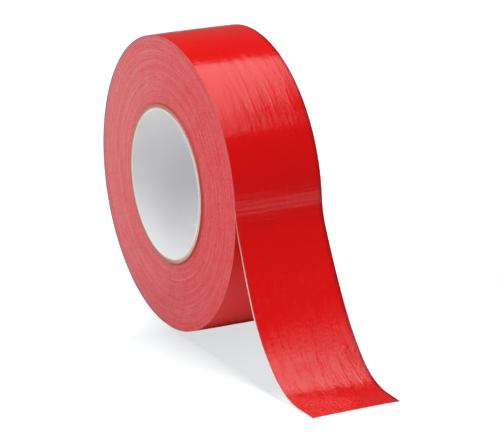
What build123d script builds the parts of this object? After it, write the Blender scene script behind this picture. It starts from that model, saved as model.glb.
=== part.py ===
from build123d import *
import os
from math import acos, cos, degrees, pi, radians, sin, sqrt

# A roll of cloth-backed tape standing on its rim, with the first stretch of tape peeled off it.
# Millimetres. The origin is the middle of the core, +Y runs along the core and +Z is up.
# The tape is wound clockwise as seen from -Y, and its loose end hangs and curls out towards +X.

# Core: a board tube wound from paper plies, which stands a little proud of the tape at each end.
CORE_BORE_RADIUS = 38.1
CORE_WIDTH = 50.0
LINER_WALL = 0.4
PLY_WALL = 0.7
PLY_NAMES = ("core_inner_ply", "core_middle_ply", "core_outer_ply")

# Tape: three bonded layers, each as (name, thickness), from the shiny face down to the sticky one.
ROLL_RADIUS = 76.0
TAPE_WIDTH = 48.0
LAYERS = (("film", 0.08), ("scrim", 0.07), ("adhesive", 0.10))

# Loose end: tangent bends, each as (length, heading at its end). A heading is in degrees outwards
# from straight down. The tape leaves the roll at PEEL_ANGLE above the +X side of the rim.
PEEL_ANGLE = 5.0
TAIL_BENDS = ((13.0, 23.5), (34.5, 29.0), (34.5, 49.0), (28.0, 90.0), (12.0, 90.0))

# The soft rim is pressed flat over this length where the roll stands.
FLAT_LENGTH = 10.0

# The loose end flexes at slits this wide, at these distances along it from the peel line.
SLIT = 0.2
FLEX_STATIONS = (5.0, 34.0, 63.0, 92.0)

TAPE_THICKNESS = sum(thickness for _, thickness in LAYERS)
TAIL_LENGTH = sum(length for length, _ in TAIL_BENDS)
CORE_RADIUS = CORE_BORE_RADIUS + LINER_WALL + PLY_WALL * len(PLY_NAMES)


def at(x, z):
    """A point in the plane across the roll's axis."""
    return Vector(x, 0, z)


def solid_across(edges, width):
    """Fills the closed outline and extends it to both sides of the mid plane, width in all."""
    return extrude(make_face(edges), amount=width / 2, both=True)


def rod(radius, width):
    """A round bar along Y, centred on the origin."""
    return extrude(Plane.XZ * Circle(radius), amount=width / 2, both=True)


def tube(inner_radius, wall, width):
    """A round tube along Y, centred on the origin."""
    return rod(inner_radius + wall, width) - rod(inner_radius, 2 * width)


# --- the loose end's line ---

def bend_at(station):
    """Point on the shiny face and heading in radians, at a distance along the loose end."""
    angle = radians(PEEL_ANGLE)
    x = ROLL_RADIUS * cos(angle)
    z = ROLL_RADIUS * sin(angle)
    heading = angle
    left = station
    for length, end_degrees in TAIL_BENDS:
        turn = radians(end_degrees) - heading
        step = min(left, length)
        swept = turn * step / length
        middle = heading + swept / 2
        chord = step if abs(swept) < 1e-9 else step * sin(swept / 2) / (swept / 2)
        x += chord * sin(middle)
        z -= chord * cos(middle)
        heading += swept
        left -= step
    return x, z, heading


def tail_point(station, depth):
    """A point that far along the loose end and that deep below its shiny face."""
    x, z, heading = bend_at(station)
    return at(x - depth * cos(heading), z - depth * sin(heading))


def tail_run(start, end, depth):
    """The loose end's edges from one station to another: an arc or a line for each bend."""
    stations = [start]
    total = 0.0
    for length, _ in TAIL_BENDS:
        total += length
        if start < total < end:
            stations.append(total)
    stations.append(end)
    edges = []
    for a, b in zip(stations, stations[1:]):
        first, middle, last = (tail_point(s, depth) for s in (a, (a + b) / 2, b))
        straight = abs(bend_at(a)[2] - bend_at(b)[2]) < 1e-9
        edges.append(Line(first, last) if straight else ThreePointArc(first, middle, last))
    return edges


def tail_layer(start, end, top, bottom):
    """One layer of the loose end between two stations and two depths."""
    edges = tail_run(start, end, top) + tail_run(start, end, bottom)
    edges.append(Line(tail_point(start, top), tail_point(start, bottom)))
    edges.append(Line(tail_point(end, top), tail_point(end, bottom)))
    return solid_across(edges, TAPE_WIDTH)


# --- the outermost turn: two half circles, each a quarter of the tape's thickness off centre ---

def turn_point(turned, depth):
    """A point after turning that many degrees round the outermost turn, from its start."""
    shift = -TAPE_THICKNESS / 4 if turned <= 180 else TAPE_THICKNESS / 4
    radius = ROLL_RADIUS - TAPE_THICKNESS / 2 + shift - depth
    peel = radians(PEEL_ANGLE)
    angle = peel - radians(turned)
    return at(shift * cos(peel) + radius * cos(angle), shift * sin(peel) + radius * sin(angle))


def turn_run(depth):
    """The outermost turn's two half circles, the first of them broken by the flat underneath."""
    radius = ROLL_RADIUS - TAPE_THICKNESS * 3 / 4
    flat_height = sqrt(radius**2 - (FLAT_LENGTH / 2) ** 2)
    half_flat = degrees(acos((flat_height - depth) / (radius - depth)))
    bottom = 90 + PEEL_ANGLE
    edges = [Line(turn_point(bottom - half_flat, depth), turn_point(bottom + half_flat, depth))]
    for start, end in ((0, bottom - half_flat), (bottom + half_flat, 180), (180, 360)):
        ends = turn_point(start, depth), turn_point(end, depth)
        edges.append(ThreePointArc(ends[0], turn_point((start + end) / 2, depth), ends[1]))
    return edges


def turn_layer(top, bottom):
    """One layer of the outermost turn, with the short root of the loose end that stays on it."""
    root_end = FLEX_STATIONS[0] - SLIT / 2
    edges = turn_run(top) + turn_run(bottom)
    edges += tail_run(0, root_end, top) + tail_run(0, root_end, bottom)
    edges.append(Line(turn_point(0, top), turn_point(0, bottom)))
    edges.append(Line(tail_point(root_end, top), tail_point(root_end, bottom)))
    return solid_across(edges, TAPE_WIDTH)


def wound_pack():
    """All the bonded turns under the outermost one, with the small step where it begins."""
    outline = turn_run(TAPE_THICKNESS)
    outline.append(Line(turn_point(0, TAPE_THICKNESS), turn_point(360, TAPE_THICKNESS)))
    return solid_across(outline, TAPE_WIDTH) - rod(CORE_RADIUS, 2 * TAPE_WIDTH)


def core():
    """The liner and the board plies."""
    parts = {"core_liner": tube(CORE_BORE_RADIUS, LINER_WALL, CORE_WIDTH)}
    radius = CORE_BORE_RADIUS + LINER_WALL
    for name in PLY_NAMES:
        parts[name] = tube(radius, PLY_WALL, CORE_WIDTH)
        radius += PLY_WALL
    return parts


def tape():
    """The wound pack, and each layer of the outermost turn and of each flexing stretch."""
    parts = {"wound_tape_pack": wound_pack()}
    ends = FLEX_STATIONS[1:] + (TAIL_LENGTH + SLIT / 2,)
    top = 0.0
    for name, thickness in LAYERS:
        bottom = top + thickness
        parts[f"outer_turn_{name}"] = turn_layer(top, bottom)
        for number, (start, end) in enumerate(zip(FLEX_STATIONS, ends), 1):
            stretch = tail_layer(start + SLIT / 2, end - SLIT / 2, top, bottom)
            parts[f"tail_{number}_{name}"] = stretch
        top = bottom
    return parts


os.makedirs("parts", exist_ok=True)
for node, shape in {**core(), **tape()}.items():
    solid = shape.solid()
    solid.label = node
    export_step(solid, f"parts/{node}.step")

for station in FLEX_STATIONS:
    pivot = tail_point(station, TAPE_THICKNESS / 2)
    print(f"flex line at {station:g} mm: x {pivot.X:.4f}, z {pivot.Z:.4f}")
tip_x, tip_z, tip_heading = bend_at(TAIL_LENGTH)
print(f"tip x {tip_x:.2f}, z {tip_z:.2f}, heading {degrees(tip_heading):.0f} degrees")
wound_area = pi * (ROLL_RADIUS**2 - CORE_RADIUS**2)
print(f"tape on the roll: {wound_area / TAPE_THICKNESS / 1000:.1f} m")
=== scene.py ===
import bpy
import math
import numpy as np
from mathutils import Matrix, Vector

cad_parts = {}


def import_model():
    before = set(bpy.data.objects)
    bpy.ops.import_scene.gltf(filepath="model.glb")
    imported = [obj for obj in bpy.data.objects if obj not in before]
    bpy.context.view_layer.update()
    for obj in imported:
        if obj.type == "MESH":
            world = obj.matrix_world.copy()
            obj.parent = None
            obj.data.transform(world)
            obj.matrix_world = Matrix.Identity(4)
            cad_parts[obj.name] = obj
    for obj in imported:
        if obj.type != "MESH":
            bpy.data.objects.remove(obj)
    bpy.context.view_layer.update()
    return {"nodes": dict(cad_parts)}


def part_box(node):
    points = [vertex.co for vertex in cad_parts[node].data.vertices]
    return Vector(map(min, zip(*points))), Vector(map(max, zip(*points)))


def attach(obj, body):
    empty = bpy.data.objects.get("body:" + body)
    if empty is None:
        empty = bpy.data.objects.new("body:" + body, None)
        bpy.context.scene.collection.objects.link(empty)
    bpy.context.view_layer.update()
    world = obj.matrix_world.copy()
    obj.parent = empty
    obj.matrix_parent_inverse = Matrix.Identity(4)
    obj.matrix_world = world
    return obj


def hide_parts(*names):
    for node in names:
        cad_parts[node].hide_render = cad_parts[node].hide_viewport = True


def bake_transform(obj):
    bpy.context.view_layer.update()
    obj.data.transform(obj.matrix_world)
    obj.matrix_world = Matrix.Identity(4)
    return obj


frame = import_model()

# A roll of red cloth tape, standing on its rim, with its loose end peeled off. Metres.
# +Y runs along the core, +Z is up, and the loose end reaches towards +X.

MM = 0.001
TAPE_WIDTH = 48.0 * MM
FILM = 0.08 * MM
SCRIM = 0.07 * MM
ADHESIVE = 0.10 * MM
TAPE = FILM + SCRIM + ADHESIVE
ROLL_RADIUS = 76.0 * MM
PEEL_ANGLE = math.radians(5.0)
TAIL_BENDS = ((13.0, 23.5), (34.5, 29.0), (34.5, 49.0), (28.0, 90.0), (12.0, 90.0))
FLEX_STATIONS = (5.0 * MM, 34.0 * MM, 63.0 * MM, 92.0 * MM)

# The tape's surface in the mesh: edges that turn down, faint ridges, and a twist of the loose end.
CROWN = 0.2 * MM
SHEET_RIDGE = 0.03 * MM
TWIST = 1.9 * MM
LINE_STEP = 0.1 * MM
TAIL_STEP = 0.5 * MM
TURN_ROWS = 370
TAPE_COLUMNS = 97

# Heights of the film's and the cloth's finer relief, which only the shading shows.
RIDGE = 0.20 * MM
DIMPLE = 0.045 * MM
RIPPLE = 0.20 * MM
WEAVE = 0.006 * MM
THREAD = 0.05 * MM
WARP_SPACING = 1.3 * MM
WEFT_SPACING = 2.0 * MM

# The side faces: how far one turn's edge stands off the next, and the slow waves over many turns.
TURN_WANDER = 0.22 * MM
FACE_WAVE = 0.25 * MM
EDGE_CREST = 0.04 * MM
EDGE_INSET = 0.12 * MM
ROWS_PER_TURN = 3
FACE_COLUMNS = 181

CORE_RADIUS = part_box("core_outer_ply")[1].x
FLOOR_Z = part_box("outer_turn_film")[0].z
FLOOR_HALF = 4.0
TAIL_LENGTH = sum(length for length, _ in TAIL_BENDS) * MM
TURN_LENGTH = 2 * math.pi * (ROLL_RADIUS - TAPE / 2)


# --- node trees ---

class Graph:
    """A node tree under construction."""

    def __init__(self, tree):
        self.tree = tree

    def node(self, kind, inputs=None, **settings):
        """Adds a node, with its settings, and with a value or a link for each named input."""
        made = self.tree.nodes.new(kind)
        for name, value in settings.items():
            setattr(made, name, value)
        for name, value in (inputs or {}).items():
            if isinstance(value, bpy.types.NodeSocket):
                self.tree.links.new(value, made.inputs[name])
            else:
                made.inputs[name].default_value = value
        return made

    def math(self, operation, *values):
        """A math node's result."""
        return self.node("ShaderNodeMath", dict(enumerate(values)), operation=operation).outputs[0]

    def vector(self, operation, *values):
        """A vector math node's result."""
        made = self.node("ShaderNodeVectorMath", dict(enumerate(values)), operation=operation)
        return made.outputs["Value" if operation in ("LENGTH", "DOT_PRODUCT") else "Vector"]

    def scaled(self, vector, factor):
        """A vector times a number that may be a socket."""
        made = self.node("ShaderNodeVectorMath", {0: vector, "Scale": factor}, operation="SCALE")
        return made.outputs["Vector"]

    def combine(self, x=0.0, y=0.0, z=0.0):
        return self.node("ShaderNodeCombineXYZ", {0: x, 1: y, 2: z}).outputs[0]

    def separate(self, vector):
        return self.node("ShaderNodeSeparateXYZ", {0: vector}).outputs

    def noise(self, vector, scale=1.0, detail=2.0, roughness=0.5):
        """Noise from 0 to 1."""
        inputs = {"Vector": vector, "Scale": scale, "Detail": detail, "Roughness": roughness}
        return self.node("ShaderNodeTexNoise", inputs).outputs[0]

    def spread(self, value, low, high, to_low=0.0, to_high=1.0):
        """Maps a value from one range to another, held at the ends."""
        inputs = {0: value, 1: low, 2: high, 3: to_low, 4: to_high}
        return self.node("ShaderNodeMapRange", inputs).outputs[0]

    def object_place(self):
        """The shaded point in the object's own coordinates."""
        return self.node("ShaderNodeTexCoord").outputs["Object"]

    def bump(self, height):
        """A normal that shows this height, in metres."""
        return self.node("ShaderNodeBump", {"Strength": 1.0, "Distance": 1.0, "Height": height}).outputs[0]

    def blend(self, factor, first, second):
        """Mixes two colours."""
        made = self.node("ShaderNodeMix", {0: factor, 6: first, 7: second}, data_type="RGBA")
        return made.outputs[2]


def rgb(red, green, blue):
    """A colour given as it looks on a screen, from 0 to 255, as Blender's linear values."""
    return tuple((c / 255) ** 2.2 for c in (red, green, blue)) + (1.0,)


def material(name, colour=(0.8, 0.8, 0.8, 1.0), roughness=0.5, **sockets):
    """A new material, with its graph and its Principled shader."""
    made = bpy.data.materials.new(name)
    made.use_nodes = True
    graph = Graph(made.node_tree)
    shader = made.node_tree.nodes["Principled BSDF"]
    shader.inputs["Base Color"].default_value = colour
    shader.inputs["Roughness"].default_value = roughness
    for socket, value in sockets.items():
        shader.inputs[socket.replace("_", " ")].default_value = value
    made.diffuse_color = colour
    return made, graph, shader


def link(graph, output, shader, name):
    graph.tree.links.new(output, shader.inputs[name])


def tape_place(graph):
    """Distance across the tape and along it, in metres, which every tape piece carries."""
    found = graph.node("ShaderNodeAttribute", attribute_name="tape_place")
    return graph.separate(found.outputs["Vector"])


# --- materials ---

def weave(graph, across, along):
    """The cloth's threads as a wavy grid, 1 on a thread and 0 between."""
    place = graph.combine(graph.math("MULTIPLY", across, 90), graph.math("MULTIPLY", along, 90))
    drift = graph.noise(place)

    def threads(distance, spacing):
        count = graph.math("MULTIPLY_ADD", drift, 0.5, graph.math("DIVIDE", distance, spacing))
        wave = graph.math("ABSOLUTE", graph.math("SINE", graph.math("MULTIPLY", count, math.pi)))
        return graph.math("POWER", wave, 6.0)

    return graph.math("MAXIMUM", threads(across, WARP_SPACING), threads(along, WEFT_SPACING))


def red_film():
    """Shiny red film, with fine lengthwise ridges from winding and ripples across it at the peel line."""
    made, graph, shader = material("red_film", rgb(214, 14, 15), 0.2, Specular_IOR_Level=0.4)
    across, along, _ = tape_place(graph)

    def streaks(across_scale, along_scale):
        place = graph.combine(
            graph.math("MULTIPLY", across, across_scale), graph.math("MULTIPLY", along, along_scale),
        )
        return graph.math("SUBTRACT", graph.noise(place, detail=3.0), 0.5)

    loose = graph.spread(along, TURN_LENGTH, TURN_LENGTH + 40 * MM)
    tip = graph.spread(along, TURN_LENGTH + 60 * MM, TURN_LENGTH + 100 * MM)
    from_peel = graph.math("ABSOLUTE", graph.math("SUBTRACT", along, TURN_LENGTH))
    near_peel = graph.spread(from_peel, 4 * MM, 25 * MM, 1.0, 0.10)
    height = graph.math("MULTIPLY", weave(graph, across, along), WEAVE)
    rougher = graph.math("MULTIPLY_ADD", loose, 0.6, 1.0)
    for pattern, depth, where in (
        (streaks(170, 22), RIDGE, rougher),
        (streaks(620, 70), 0.25 * RIDGE, rougher),
        (streaks(430, 480), DIMPLE, graph.math("MULTIPLY_ADD", loose, 1.4, 1.0)),
        (streaks(18, 420), RIPPLE, near_peel),
    ):
        height = graph.math("MULTIPLY_ADD", graph.math("MULTIPLY", pattern, depth), where, height)
    link(graph, graph.bump(height), shader, "Normal")
    patches = graph.math("ADD", streaks(70, 8), 0.5)
    # Painted light: the loose end's red is lighter, standing in for bounce light from the floor. The tip's
    # red is darker.
    wound_red = graph.blend(patches, rgb(211, 13, 14), rgb(217, 15, 16))
    loose_red_painted_light = graph.blend(patches, rgb(220, 18, 18), rgb(226, 20, 20))
    tip_red = graph.blend(patches, rgb(206, 20, 20), rgb(212, 22, 22))
    red = graph.blend(tip, graph.blend(loose, wound_red, loose_red_painted_light), tip_red)
    half = TAPE_WIDTH / 2
    # Painted shade: the film's far (+Y) edge is darkened in its colour.
    painted_shade_edge = graph.spread(across, half - 2.6 * MM, half - 0.6 * MM)
    red = graph.blend(painted_shade_edge, red, rgb(146, 26, 26))
    # Along the slit edge of the loose end: a band of painted shade, then a pale line of painted highlight
    # right at the edge.
    from_slit = graph.math("ADD", across, half)
    painted_shade_by_slit = graph.math("MULTIPLY", graph.spread(from_slit, 1.3 * MM, 0.7 * MM), loose)
    red = graph.blend(painted_shade_by_slit, red, rgb(188, 40, 40))
    painted_highlight_at_slit = graph.math("MULTIPLY", graph.spread(from_slit, 0.55 * MM, 0.35 * MM), loose)
    link(graph, graph.blend(painted_highlight_at_slit, red, rgb(250, 196, 188)), shader, "Base Color")
    patchy = graph.spread(streaks(400, 60), -0.2, 0.2, 0.12, 0.19)
    blotchy = graph.spread(streaks(260, 110), -0.15, 0.15, -0.04, 0.14)
    link(graph, graph.math("MULTIPLY_ADD", loose, blotchy, patchy), shader, "Roughness")
    return made


SQUEEZED_PINK = rgb(192, 108, 112)


def loose_part(graph, along):
    """0 on the wound turn, where the winding presses the edges together, and 1 on the loose end."""
    return graph.spread(along, TURN_LENGTH - 2 * MM, TURN_LENGTH + 2 * MM)


def sticky_back():
    """Cream adhesive, with the cotton threads showing through as a grid."""
    made, graph, shader = material("cream_adhesive", rgb(226, 205, 178), 0.35)
    across, along, _ = tape_place(graph)
    grid = weave(graph, across, along)
    cream = graph.blend(graph.math("MULTIPLY", grid, 0.55), rgb(228, 200, 178), rgb(246, 234, 218))
    link(graph, graph.blend(loose_part(graph, along), SQUEEZED_PINK, cream), shader, "Base Color")
    link(graph, graph.bump(graph.math("MULTIPLY", grid, THREAD)), shader, "Normal")
    return made


def cotton():
    """The woven threads, seen only at the tape's cut edges, with flecks of shade along them."""
    made, graph, shader = material("cotton_scrim", rgb(236, 222, 208), 0.8)
    along = tape_place(graph)[1]
    place = graph.object_place()
    flecks = graph.spread(graph.noise(place, scale=1500.0), 0.35, 0.65)
    pale = graph.blend(flecks, rgb(244, 190, 182), rgb(252, 234, 226))
    link(graph, graph.blend(loose_part(graph, along), SQUEEZED_PINK, pale), shader, "Base Color")
    return made


def polar(graph, place):
    """Distance from the core's axis, angle round it, and the direction from it as a vector."""
    x, _, z = graph.separate(place)
    flat = graph.combine(x, 0.0, z)
    return graph.vector("LENGTH", flat), graph.math("ARCTAN2", z, x), graph.vector("NORMALIZE", flat)


def cut_edges():
    """The side of the roll: the cut edges of all the turns, red film between pale threads and glue."""
    made, graph, shader = material("cut_tape_edges", rgb(214, 100, 104), 0.55)
    place = graph.object_place()
    radius, angle, direction = polar(graph, place)
    x = graph.separate(place)[0]

    def rings(radius_scale, angle_scale, detail=2.0):
        moved = graph.vector("ADD", graph.scaled(direction, angle_scale),
                             graph.combine(0.0, graph.math("MULTIPLY", radius, radius_scale), 0.0))
        return graph.noise(moved, detail=detail)

    def speckle(scale):
        grain = graph.noise(place, scale=scale, detail=3.0, roughness=0.7)
        return graph.spread(grain, 0.3, 0.7, -0.5, 0.5)

    bands = graph.spread(rings(620, 0.9, detail=3.0), 0.36, 0.64, -0.5, 0.5)
    fine = graph.spread(rings(1500, 3.0), 0.38, 0.62, -0.5, 0.5)
    dashes = graph.spread(rings(2100, 60.0), 0.35, 0.65, -0.5, 0.5)
    pale = graph.spread(rings(1000, 0.8), 0.62, 0.70)
    pale = graph.math("MULTIPLY", pale, graph.math("ADD", dashes, 0.8))
    turn = graph.math("FRACT", graph.math("SUBTRACT", graph.math("DIVIDE", radius, TAPE),
                                          graph.math("DIVIDE", angle, 2 * math.pi)))
    off_middle = graph.math("ABSOLUTE", graph.math("SUBTRACT", turn, 0.5))
    film_line = graph.spread(off_middle, 0.1, 0.3, -0.5, 0.5)
    # Painted shade: the cut edges are drawn a deeper, darker red next to the core.
    painted_shade_by_core = graph.spread(radius, CORE_RADIUS + 0.2 * MM, CORE_RADIUS + 1.2 * MM, -1.0, 0.0)
    # Painted light: the side face starts paler towards -X and redder towards +X, a painted sheen.
    tone = graph.spread(x, -60 * MM, 60 * MM, 0.42, 0.10)
    for part, weight in (
        (bands, 0.16), (fine, 0.12), (dashes, 0.22), (pale, 0.32), (film_line, 0.10),
        (speckle(1100), 0.20), (speckle(120), 0.12), (painted_shade_by_core, 0.16),
    ):
        tone = graph.math("MULTIPLY_ADD", part, weight, tone)
    colour = graph.blend(tone, rgb(218, 36, 46), rgb(223, 149, 152))
    # Painted shade: the outermost turns on the -X side are darkened.
    painted_shade_rim = graph.math("MULTIPLY", graph.spread(radius, 72.5 * MM, 75.5 * MM, 0.0, 0.8),
                     graph.spread(x, 20 * MM, -20 * MM))
    colour = graph.blend(painted_shade_rim, colour, rgb(188, 100, 108))
    link(graph, colour, shader, "Base Color")
    lift = graph.math("MULTIPLY", fine, 0.06 * MM)
    lift = graph.math("ADD", lift, graph.math("MULTIPLY", dashes, 0.08 * MM))
    link(graph, graph.bump(lift), shader, "Normal")
    return made


def paper():
    """Smooth white liner paper."""
    made, graph, shader = material("white_liner", rgb(234, 234, 236), 0.6)
    place = graph.object_place()
    cloud = graph.noise(place, scale=90.0, detail=4.0)
    link(graph, graph.blend(cloud, rgb(229, 230, 232), rgb(239, 239, 241)), shader, "Base Color")
    return made


def board(name, brown, pale):
    """Pressed board with its fibres, painted lighter towards +X; its outside wall has painted shade tinted
    red by the tape.
    """
    made, graph, shader = material(name, brown, 0.9)
    place = graph.object_place()
    x, _, z = graph.separate(place)
    fibres = graph.noise(place, scale=900.0, detail=4.0, roughness=0.7)
    # Painted light: the board is drawn paler towards +X, on top of its fibres.
    fibres_and_painted_light = graph.math("ADD", graph.spread(x, 0.0, 36 * MM), graph.math("SUBTRACT", fibres, 0.5))
    radius = graph.vector("LENGTH", graph.combine(x, 0.0, z))
    # Painted shade: the outside wall is drawn dark red, standing in for shade and the tape's reflected red.
    outside = graph.spread(radius, CORE_RADIUS - 0.15 * MM, CORE_RADIUS - 0.05 * MM)
    colour = graph.blend(outside, graph.blend(fibres_and_painted_light, brown, pale), rgb(186, 104, 96))
    link(graph, colour, shader, "Base Color")
    link(graph, graph.bump(graph.math("MULTIPLY", fibres, 0.1 * MM)), shader, "Normal")
    return made


FILM_FINISH = red_film()
ADHESIVE_FINISH = sticky_back()
SCRIM_FINISH = cotton()
EDGE_FINISH = cut_edges()
LINER_FINISH = paper()
BOARD_FINISH = board("grey_board", rgb(160, 128, 110), rgb(226, 178, 160))
LIGHT_BOARD_FINISH = board("light_board", rgb(206, 186, 166), rgb(236, 204, 184))


# --- the tape's line: once round the roll, then along the loose end ---

def line_point(distance):
    """Point of the shiny face in the XZ plane, at a distance from the start of the outermost turn."""
    if distance < TURN_LENGTH:
        turned = 2 * math.pi * distance / TURN_LENGTH
        shift = -TAPE / 4 if turned <= math.pi else TAPE / 4
        radius = ROLL_RADIUS - TAPE / 2 + shift
        angle = PEEL_ANGLE - turned
        x = shift * math.cos(PEEL_ANGLE) + radius * math.cos(angle)
        z = shift * math.sin(PEEL_ANGLE) + radius * math.sin(angle)
        return x, max(z, FLOOR_Z)
    x, z = ROLL_RADIUS * math.cos(PEEL_ANGLE), ROLL_RADIUS * math.sin(PEEL_ANGLE)
    heading = PEEL_ANGLE
    left = distance - TURN_LENGTH
    for length, end_degrees in TAIL_BENDS:
        length = length * MM
        step = min(left, length)
        swept = (math.radians(end_degrees) - heading) * step / length
        middle = heading + swept / 2
        chord = step if abs(swept) < 1e-9 else step * math.sin(swept / 2) / (swept / 2)
        x += chord * math.sin(middle)
        z -= chord * math.cos(middle)
        heading += swept
        left -= step
    return x, z


def tape_line():
    """The line as a curve, fine enough to look smooth in a reflection."""
    count = int((TURN_LENGTH + TAIL_LENGTH) / LINE_STEP)
    distances = np.linspace(0, TURN_LENGTH + TAIL_LENGTH, count)
    curve = bpy.data.curves.new("tape_line", "CURVE")
    curve.dimensions = "3D"
    spline = curve.splines.new("POLY")
    spline.points.add(count - 1)
    points = [line_point(distance) for distance in distances]
    spline.points.foreach_set("co", [c for x, z in points for c in (x, 0.0, z, 1.0)])
    made = bpy.data.objects.new("tape_line", curve)
    bpy.context.scene.collection.objects.link(made)
    return made


# --- Geometry Nodes ---

def new_tree(name, inputs):
    """An empty Geometry Nodes tree with these named inputs, and its graph and input sockets."""
    tree = bpy.data.node_groups.new(name, "GeometryNodeTree")
    tree.is_modifier = True
    tree.interface.new_socket("Geometry", in_out="INPUT", socket_type="NodeSocketGeometry")
    for label, kind in inputs.items():
        tree.interface.new_socket(label, in_out="INPUT", socket_type="NodeSocket" + kind)
    tree.interface.new_socket("Geometry", in_out="OUTPUT", socket_type="NodeSocketGeometry")
    graph = Graph(tree)
    sockets = graph.node("NodeGroupInput").outputs
    return tree, graph, sockets


def end_tree(graph, geometry, finish):
    """Realizes, sets the material and ends the tree."""
    real = graph.node("GeometryNodeRealizeInstances", {"Geometry": geometry}).outputs[0]
    named = graph.node("GeometryNodeSetMaterial", {"Geometry": real, "Material": finish}).outputs[0]
    graph.tree.links.new(named, graph.node("NodeGroupOutput").inputs["Geometry"])


def grow(name, tree, values):
    """Runs a tree with these input values and returns the result as a plain mesh object."""
    made = bpy.data.objects.new(name, bpy.data.meshes.new(name))
    bpy.context.scene.collection.objects.link(made)
    modifier = made.modifiers.new("shape", "NODES")
    modifier.node_group = tree
    for item in tree.interface.items_tree:
        if item.in_out == "INPUT" and item.name in values:
            modifier[item.identifier] = values[item.name]
    settle(made)
    return made


def settle(made):
    """Turns an object's modifiers into its plain mesh."""
    graph = bpy.context.evaluated_depsgraph_get()
    mesh = bpy.data.meshes.new_from_object(made.evaluated_get(graph))
    made.modifiers.clear()
    old = made.data
    made.data = mesh
    bpy.data.meshes.remove(old)
    mesh.name = made.name


def thicken(made, thickness):
    """Gives a surface its thickness, inwards, and smooth faces with crisp rims."""
    wall = made.modifiers.new("wall", "SOLIDIFY")
    wall.thickness = thickness
    wall.offset = -1.0
    settle(made)
    made.data.shade_smooth()
    made.data.set_sharp_from_angle(angle=math.radians(40))


def tape_tree():
    """A surface of tape along the line between two distances."""
    inputs = {
        "Line": "Object", "From": "Float", "To": "Float", "Width": "Float", "Depth": "Float",
        "Ridges": "Float", "Crown": "Float", "Twist": "Float", "Twist from": "Float", "Twist to": "Float",
        "Columns": "Int", "Rows": "Int", "Finish": "Material",
    }
    tree, graph, given = new_tree("tape_surface", inputs)
    line = graph.node("GeometryNodeObjectInfo", {"Object": given["Line"]}, transform_space="RELATIVE")
    grid = graph.node("GeometryNodeMeshGrid", {
        "Size X": 1.0, "Size Y": 1.0, "Vertices X": given["Columns"], "Vertices Y": given["Rows"],
    }).outputs["Mesh"]
    u, v, _ = graph.separate(graph.node("GeometryNodeInputPosition").outputs[0])
    across = graph.math("MULTIPLY", u, graph.math("MULTIPLY", given["Width"], -1.0))
    span = graph.math("SUBTRACT", given["To"], given["From"])
    along = graph.math("MULTIPLY_ADD", graph.math("ADD", v, 0.5), span, given["From"])
    sample = graph.node("GeometryNodeSampleCurve", {
        "Curves": line.outputs["Geometry"], "Length": along,
    }, mode="LENGTH")
    outwards = graph.vector("CROSS_PRODUCT", sample.outputs["Tangent"], (0, 1, 0))
    outwards = graph.vector("NORMALIZE", outwards)
    ridge_place = graph.combine(graph.math("MULTIPLY", across, 420), graph.math("MULTIPLY", along, 16))
    ridge = graph.math("SUBTRACT", graph.noise(ridge_place, detail=2.0), 0.5)
    ridge = graph.math("MULTIPLY", ridge, given["Ridges"])
    turned = graph.spread(along, given["Twist from"], given["Twist to"], 0.0, math.pi)
    wave = graph.math("POWER", graph.math("SINE", turned), 2.0)
    lean = graph.math("DIVIDE", across, graph.math("MULTIPLY", given["Width"], 0.5))
    twist = graph.math("MULTIPLY", graph.math("MULTIPLY", lean, wave), given["Twist"])
    crown = graph.math("MULTIPLY", graph.math("POWER", graph.math("ABSOLUTE", lean), 4.0), given["Crown"])
    drop = graph.math("ADD", given["Depth"], crown)
    height = graph.math("SUBTRACT", graph.math("ADD", ridge, twist), drop)
    place = graph.vector("ADD", sample.outputs["Position"], graph.scaled(outwards, height))
    place = graph.vector("ADD", place, graph.combine(0.0, across, 0.0))
    stored = graph.node("GeometryNodeStoreNamedAttribute", {
        "Geometry": grid, "Name": "tape_place", "Value": graph.combine(across, along, 0.0),
    }, data_type="FLOAT_VECTOR", domain="POINT").outputs[0]
    moved = graph.node("GeometryNodeSetPosition", {"Geometry": stored, "Position": place}).outputs[0]
    end_tree(graph, moved, given["Finish"])
    return tree


LINE = tape_line()
TAPE_TREE = tape_tree()


def tape_layer(name, start, end, depth, thickness, finish, rows):
    """One layer of tape between two distances along the line."""
    made = grow(name, TAPE_TREE, {
        "Line": LINE, "From": start, "To": end, "Width": TAPE_WIDTH, "Depth": depth,
        "Ridges": SHEET_RIDGE, "Crown": CROWN, "Twist": TWIST, "Twist from": TURN_LENGTH,
        "Twist to": TURN_LENGTH + TAIL_LENGTH, "Columns": TAPE_COLUMNS, "Rows": rows, "Finish": finish,
    })
    thicken(made, thickness)
    return made


# Each layer: its name, its depth below the shiny face, its thickness, its finish and its slot.
LAYERS = (
    ("film", 0.0, FILM, FILM_FINISH, "red_film"),
    ("scrim", FILM, SCRIM, SCRIM_FINISH, "cotton_scrim"),
    ("adhesive", FILM + SCRIM, ADHESIVE, ADHESIVE_FINISH, "adhesive"),
)


def line_vector(station):
    """A point on the loose end at a distance from the peel line."""
    x, z = line_point(TURN_LENGTH + station)
    return Vector((x, 0.0, z))


def outer_turn():
    """The outermost turn, and the root of the loose end as far as the first flex line."""
    for layer, depth, thickness, finish, slot in LAYERS:
        made = tape_layer(
            f"turn_{layer}", 0.0, TURN_LENGTH + FLEX_STATIONS[0], depth, thickness, finish, TURN_ROWS,
        )
        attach(made, "roll")
        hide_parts(f"outer_turn_{layer}")


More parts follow.
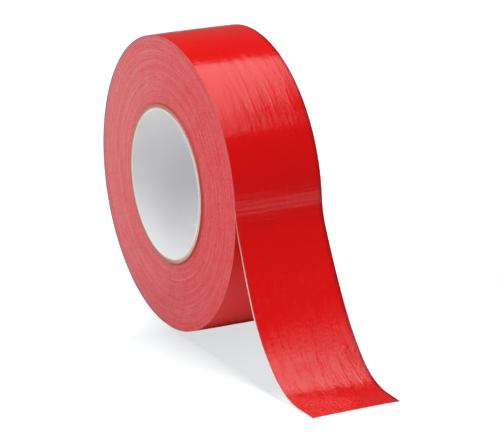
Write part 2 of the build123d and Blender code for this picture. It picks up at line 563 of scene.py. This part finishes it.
def loose_end():
    """The loose end, cut at the middle of each stretch, so that each piece spans one flex line."""
    ends = list(FLEX_STATIONS[1:]) + [TAIL_LENGTH]
    middles = [(a + b) / 2 for a, b in zip(FLEX_STATIONS, ends)]
    cuts = [FLEX_STATIONS[0]] + middles[:3] + [TAIL_LENGTH]
    for number in range(4):
        start, end = cuts[number], cuts[number + 1]
        rows = int((end - start) / TAIL_STEP)
        for layer, depth, thickness, finish, slot in LAYERS:
            piece = tape_layer(
                f"loose_end_{number + 1}_{layer}", TURN_LENGTH + start, TURN_LENGTH + end, depth,
                thickness, finish, rows,
            )
            line_vector(start)
            line_vector(middles[number])
            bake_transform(piece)
            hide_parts(f"tail_{number + 1}_{layer}")


outer_turn()
loose_end()


# --- the wound turns ---

def pack_tree():
    """Half of the wound turns: a spiral of cut edges on one side, closed at the middle of the roll."""
    inputs = {
        "Inner radius": "Float", "Outer radius": "Float", "Pitch": "Float", "Half width": "Float",
        "Side": "Float", "Start angle": "Float", "Rows per turn": "Int", "Rows": "Int",
        "Columns": "Int", "Finish": "Material",
    }
    tree, graph, given = new_tree("wound_turns", inputs)
    rows = graph.math("ADD", given["Rows"], 3.0)
    grid = graph.node("GeometryNodeMeshGrid", {
        "Size X": 1.0, "Size Y": 1.0, "Vertices X": rows, "Vertices Y": given["Columns"],
    }).outputs["Mesh"]
    u, v, _ = graph.separate(graph.node("GeometryNodeInputPosition").outputs[0])
    around = graph.math("ADD", v, 0.5)
    last = graph.math("SUBTRACT", rows, 1.0)
    row = graph.math("ROUND", graph.math("MULTIPLY", graph.math("ADD", u, 0.5), last))
    closing = graph.math("COMPARE", row, last, 0.5)
    on_face = graph.math("MULTIPLY",
                         graph.math("GREATER_THAN", row, 0.5),
                         graph.math("LESS_THAN", row, graph.math("SUBTRACT", last, 1.5)))
    before_close = graph.math("SUBTRACT", 1.0, closing)
    face_row = graph.math("MULTIPLY", graph.math("SUBTRACT", row, 1.0), before_close)
    turns = graph.math("DIVIDE", face_row, given["Rows per turn"])
    spiral = graph.math("ADD", graph.math("SUBTRACT", turns, 1.0), around)
    radius = graph.math("MULTIPLY_ADD", spiral, given["Pitch"], given["Inner radius"])
    to_seam = graph.math("MULTIPLY", graph.math("SUBTRACT", 1.0, around), 400.0)
    ramp = graph.math("MINIMUM", around, to_seam)
    limit = graph.math("MULTIPLY_ADD", ramp, given["Pitch"], given["Outer radius"])
    radius = graph.math("MAXIMUM", graph.math("MINIMUM", radius, limit), given["Inner radius"])
    within = graph.math("FRACT", graph.math("ADD", turns, 1e-4))
    crest = graph.math("SINE", graph.math("MULTIPLY", within, math.pi))
    strip = graph.math("ADD", graph.math("FLOOR", graph.math("ADD", turns, 1e-4)), around)
    strip_place = graph.combine(graph.math("MULTIPLY", strip, 0.9), 3.3, 0.0)
    wander = graph.noise(strip_place, detail=3.0, roughness=0.7)
    angle = graph.math("MULTIPLY_ADD", around, -2 * math.pi, given["Start angle"])
    direction = graph.combine(graph.math("COSINE", angle), 0.0, graph.math("SINE", angle))
    wave = graph.noise(graph.scaled(direction, radius), scale=60.0, detail=2.0)
    lift = graph.math("MULTIPLY", graph.math("SUBTRACT", wander, 0.5), TURN_WANDER)
    wave = graph.math("MULTIPLY", graph.math("SUBTRACT", wave, 0.5), FACE_WAVE)
    lift = graph.math("ADD", lift, wave)
    lift = graph.math("ADD", lift, graph.math("MULTIPLY", crest, EDGE_CREST))
    lift = graph.math("ADD", lift, graph.math("SUBTRACT", given["Half width"], EDGE_INSET))
    y = graph.math("MULTIPLY", graph.math("MULTIPLY", lift, on_face), given["Side"])
    place = graph.vector("ADD", graph.scaled(direction, radius), graph.combine(0.0, y, 0.0))
    moved = graph.node("GeometryNodeSetPosition", {"Geometry": grid, "Position": place}).outputs[0]
    merged = graph.node("GeometryNodeMergeByDistance", {"Geometry": moved, "Distance": 1e-5}).outputs[0]
    end_tree(graph, merged, given["Finish"])
    return tree


def wound_turns():
    """All the turns under the outermost one, as a front and a back half."""
    tree = pack_tree()
    outer = ROLL_RADIUS - 2 * TAPE - CROWN
    turns = int((outer - CORE_RADIUS) / TAPE) + 3
    for name, side in (("cut_edges_front", -1.0), ("cut_edges_back", 1.0)):
        made = grow(name, tree, {
            "Inner radius": CORE_RADIUS, "Outer radius": outer, "Pitch": TAPE,
            "Half width": TAPE_WIDTH / 2, "Side": side, "Start angle": PEEL_ANGLE,
            "Rows per turn": ROWS_PER_TURN, "Rows": turns * ROWS_PER_TURN + 1, "Columns": FACE_COLUMNS,
            "Finish": EDGE_FINISH,
        })
        if side > 0:
            made.data.flip_normals()
        made.data.shade_smooth()
        made.data.set_sharp_from_angle(angle=math.radians(60))
        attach(made, "roll")
        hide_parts("wound_tape_pack")


wound_turns()


# --- the core ---

for node, finish in (
    ("core_liner", LINER_FINISH), ("core_inner_ply", LIGHT_BOARD_FINISH),
    ("core_middle_ply", BOARD_FINISH), ("core_outer_ply", BOARD_FINISH),
):
    shell = frame["nodes"][node]
    shell.data.materials.clear()
    shell.data.materials.append(finish)

bpy.data.objects.remove(LINE)


# --- stage, lights and camera ---

def plane(name, finish):
    """A wide flat square that the roll stands on."""
    mesh = bpy.data.meshes.new(name)
    signs = ((-1, -1), (1, -1), (1, 1), (-1, 1))
    corners = [(FLOOR_HALF * a, FLOOR_HALF * b, FLOOR_Z) for a, b in signs]
    mesh.from_pydata(corners, [], [(0, 1, 2, 3)])
    mesh.materials.append(finish)
    made = bpy.data.objects.new(name, mesh)
    bpy.context.scene.collection.objects.link(made)
    return made


def seen_floor():
    """The floor that the camera sees. It glows white but for a band by the roll, and fades out far off."""
    finish, graph, shader = material("floor_white", (0.29, 0.30, 0.30, 1.0), 0.9, Specular_IOR_Level=0.0)
    shader.inputs["Emission Color"].default_value = (0.97, 0.98, 1.0, 1.0)
    place = graph.object_place()
    from_shade = graph.math("ABSOLUTE", graph.math("SUBTRACT", graph.separate(place)[0], 58 * MM))
    link(graph, graph.spread(from_shade, 48 * MM, 82 * MM, 0.68, 0.98), shader, "Emission Strength")
    distance = graph.vector("LENGTH", place)
    range_inputs = {0: distance, 1: 0.4, 2: 1.0}
    fade = graph.node("ShaderNodeMapRange", range_inputs, interpolation_type="SMOOTHSTEP").outputs[0]
    clear = graph.node("ShaderNodeBsdfTransparent").outputs[0]
    mixed = graph.node("ShaderNodeMixShader", {0: fade, 1: shader.outputs[0], 2: clear}).outputs[0]
    link(graph, mixed, finish.node_tree.nodes["Material Output"], "Surface")
    floor = plane("floor", finish)
    floor.visible_diffuse = False
    floor.visible_glossy = False
    floor.visible_shadow = False
    return floor


def bounce_floor():
    """The floor that only the roll sees: white, lit by the softboxes, with a glow of painted light that
    grows away from the roll.
    """
    finish, graph, shader = material("floor_bounce", (0.75, 0.75, 0.75, 1.0), 1.0, Specular_IOR_Level=0.0)
    shader.inputs["Emission Color"].default_value = (1.0, 1.0, 1.0, 1.0)
    place = graph.object_place()
    from_roll = graph.math("ABSOLUTE", graph.separate(place)[0])
    link(graph, graph.spread(from_roll, 25 * MM, 70 * MM, 0.0, 0.22), shader, "Emission Strength")
    floor = plane("floor_bounce", finish)
    floor.visible_camera = False
    floor.visible_shadow = False


def light_only(light, floor, state):
    """Has a light fall on this floor alone (INCLUDE) or on all but it (EXCLUDE)."""
    group = bpy.data.collections.new(f"{light.name}_floor")
    group.objects.link(floor)
    group.collection_objects[0].light_linking.link_state = state
    light.light_linking.receiver_collection = group


def softbox(name, place, size, radiance, tilt=0.0, turn=0.0):
    """A rectangular softbox that faces down, tilted towards +Y and turned about Z by these degrees."""
    light = bpy.data.lights.new(name, "AREA")
    light.shape = "RECTANGLE"
    light.size, light.size_y = size
    light.energy = radiance * math.pi * light.size * light.size_y
    made = bpy.data.objects.new(name, light)
    made.location = place
    made.rotation_euler = (math.radians(tilt), 0.0, math.radians(turn))
    made.visible_camera = False
    bpy.context.scene.collection.objects.link(made)
    return made


def feather(light, width):
    """Fades a softbox out over this share of its length at its +Y edge. All but its last part is dimmer."""
    light.data.use_nodes = True
    graph = Graph(light.data.node_tree)
    along = graph.separate(graph.node("ShaderNodeNewGeometry").outputs["Parametric"])[1]
    dimmer = graph.spread(along, 0.86, 0.92, 0.86, 1.0)
    fade = graph.spread(along, 1.0 - width, 1.0, 1.0, 0.0)
    link(graph, graph.math("MULTIPLY", dimmer, fade), light.data.node_tree.nodes["Emission"], "Strength")


def world():
    """A surround that the camera sees as white. It lights the roll dimly, with a faint sheen from +X."""
    made = bpy.data.worlds.new("studio")
    made.use_nodes = True
    bpy.context.scene.world = made
    graph = Graph(made.node_tree)
    rays = graph.node("ShaderNodeLightPath").outputs
    x = graph.separate(graph.node("ShaderNodeTexCoord").outputs["Generated"])[0]
    dim = graph.spread(x, -1.0, 0.5, 0.16, 0.06)
    sheen = graph.math("MULTIPLY", graph.spread(x, 0.1, 0.6, 0.0, 0.1), rays["Is Glossy Ray"])
    level = graph.math("MAXIMUM", graph.math("ADD", dim, sheen), rays["Is Camera Ray"])
    background = made.node_tree.nodes["Background"]
    link(graph, level, background, "Strength")
    background.inputs["Color"].default_value = (1.0, 1.0, 1.0, 1.0)


def camera():
    """A long lens a metre and a half off, above the roll and towards the side of its loose end."""
    distance, to_right, to_below = 1.4988, 0.02095, 0.02136
    azimuth, elevation = math.radians(62.32), math.radians(17.71)
    back = Vector((
        math.sin(azimuth) * math.cos(elevation), -math.cos(azimuth) * math.cos(elevation),
        math.sin(elevation),
    ))
    right = Vector((math.cos(azimuth), math.sin(azimuth), 0.0))
    up = back.cross(right)
    data = bpy.data.cameras.new("camera")
    data.sensor_width = 36.0
    data.lens = 212.0
    made = bpy.data.objects.new("camera", data)
    made.location = back * distance + right * to_right - up * to_below
    made.rotation_mode = "QUATERNION"
    made.rotation_quaternion = Matrix((right, up, back)).transposed().to_quaternion()
    bpy.context.scene.collection.objects.link(made)
    bpy.context.scene.camera = made


bounce_floor()
floor = seen_floor()
world()
overhead = softbox("overhead", (0.044, -0.28, 1.2), (1.196, 2.03), 3.3, turn=-6)
feather(overhead, 0.08)
corner = softbox("corner", (0.885, 0.607, 1.2), (0.40, 0.22), 1.7, turn=14.7)
side = softbox("side", (0.85, -0.35, 1.2), (0.35, 1.7), 3.0)
side.visible_glossy = False
fill = softbox("fill", (-0.15, -1.3, 0.85), (1.4, 0.9), 1.3, tilt=57)
floor_light = softbox("floor_light", (0.06, 0.16, 2.4), (0.50, 0.50), 87.0)
for light in (overhead, corner, side, fill):
    light_only(light, floor, "EXCLUDE")
light_only(floor_light, floor, "INCLUDE")
camera()

scene = bpy.context.scene
scene.view_settings.view_transform = "Standard"
scene.view_settings.look = "None"
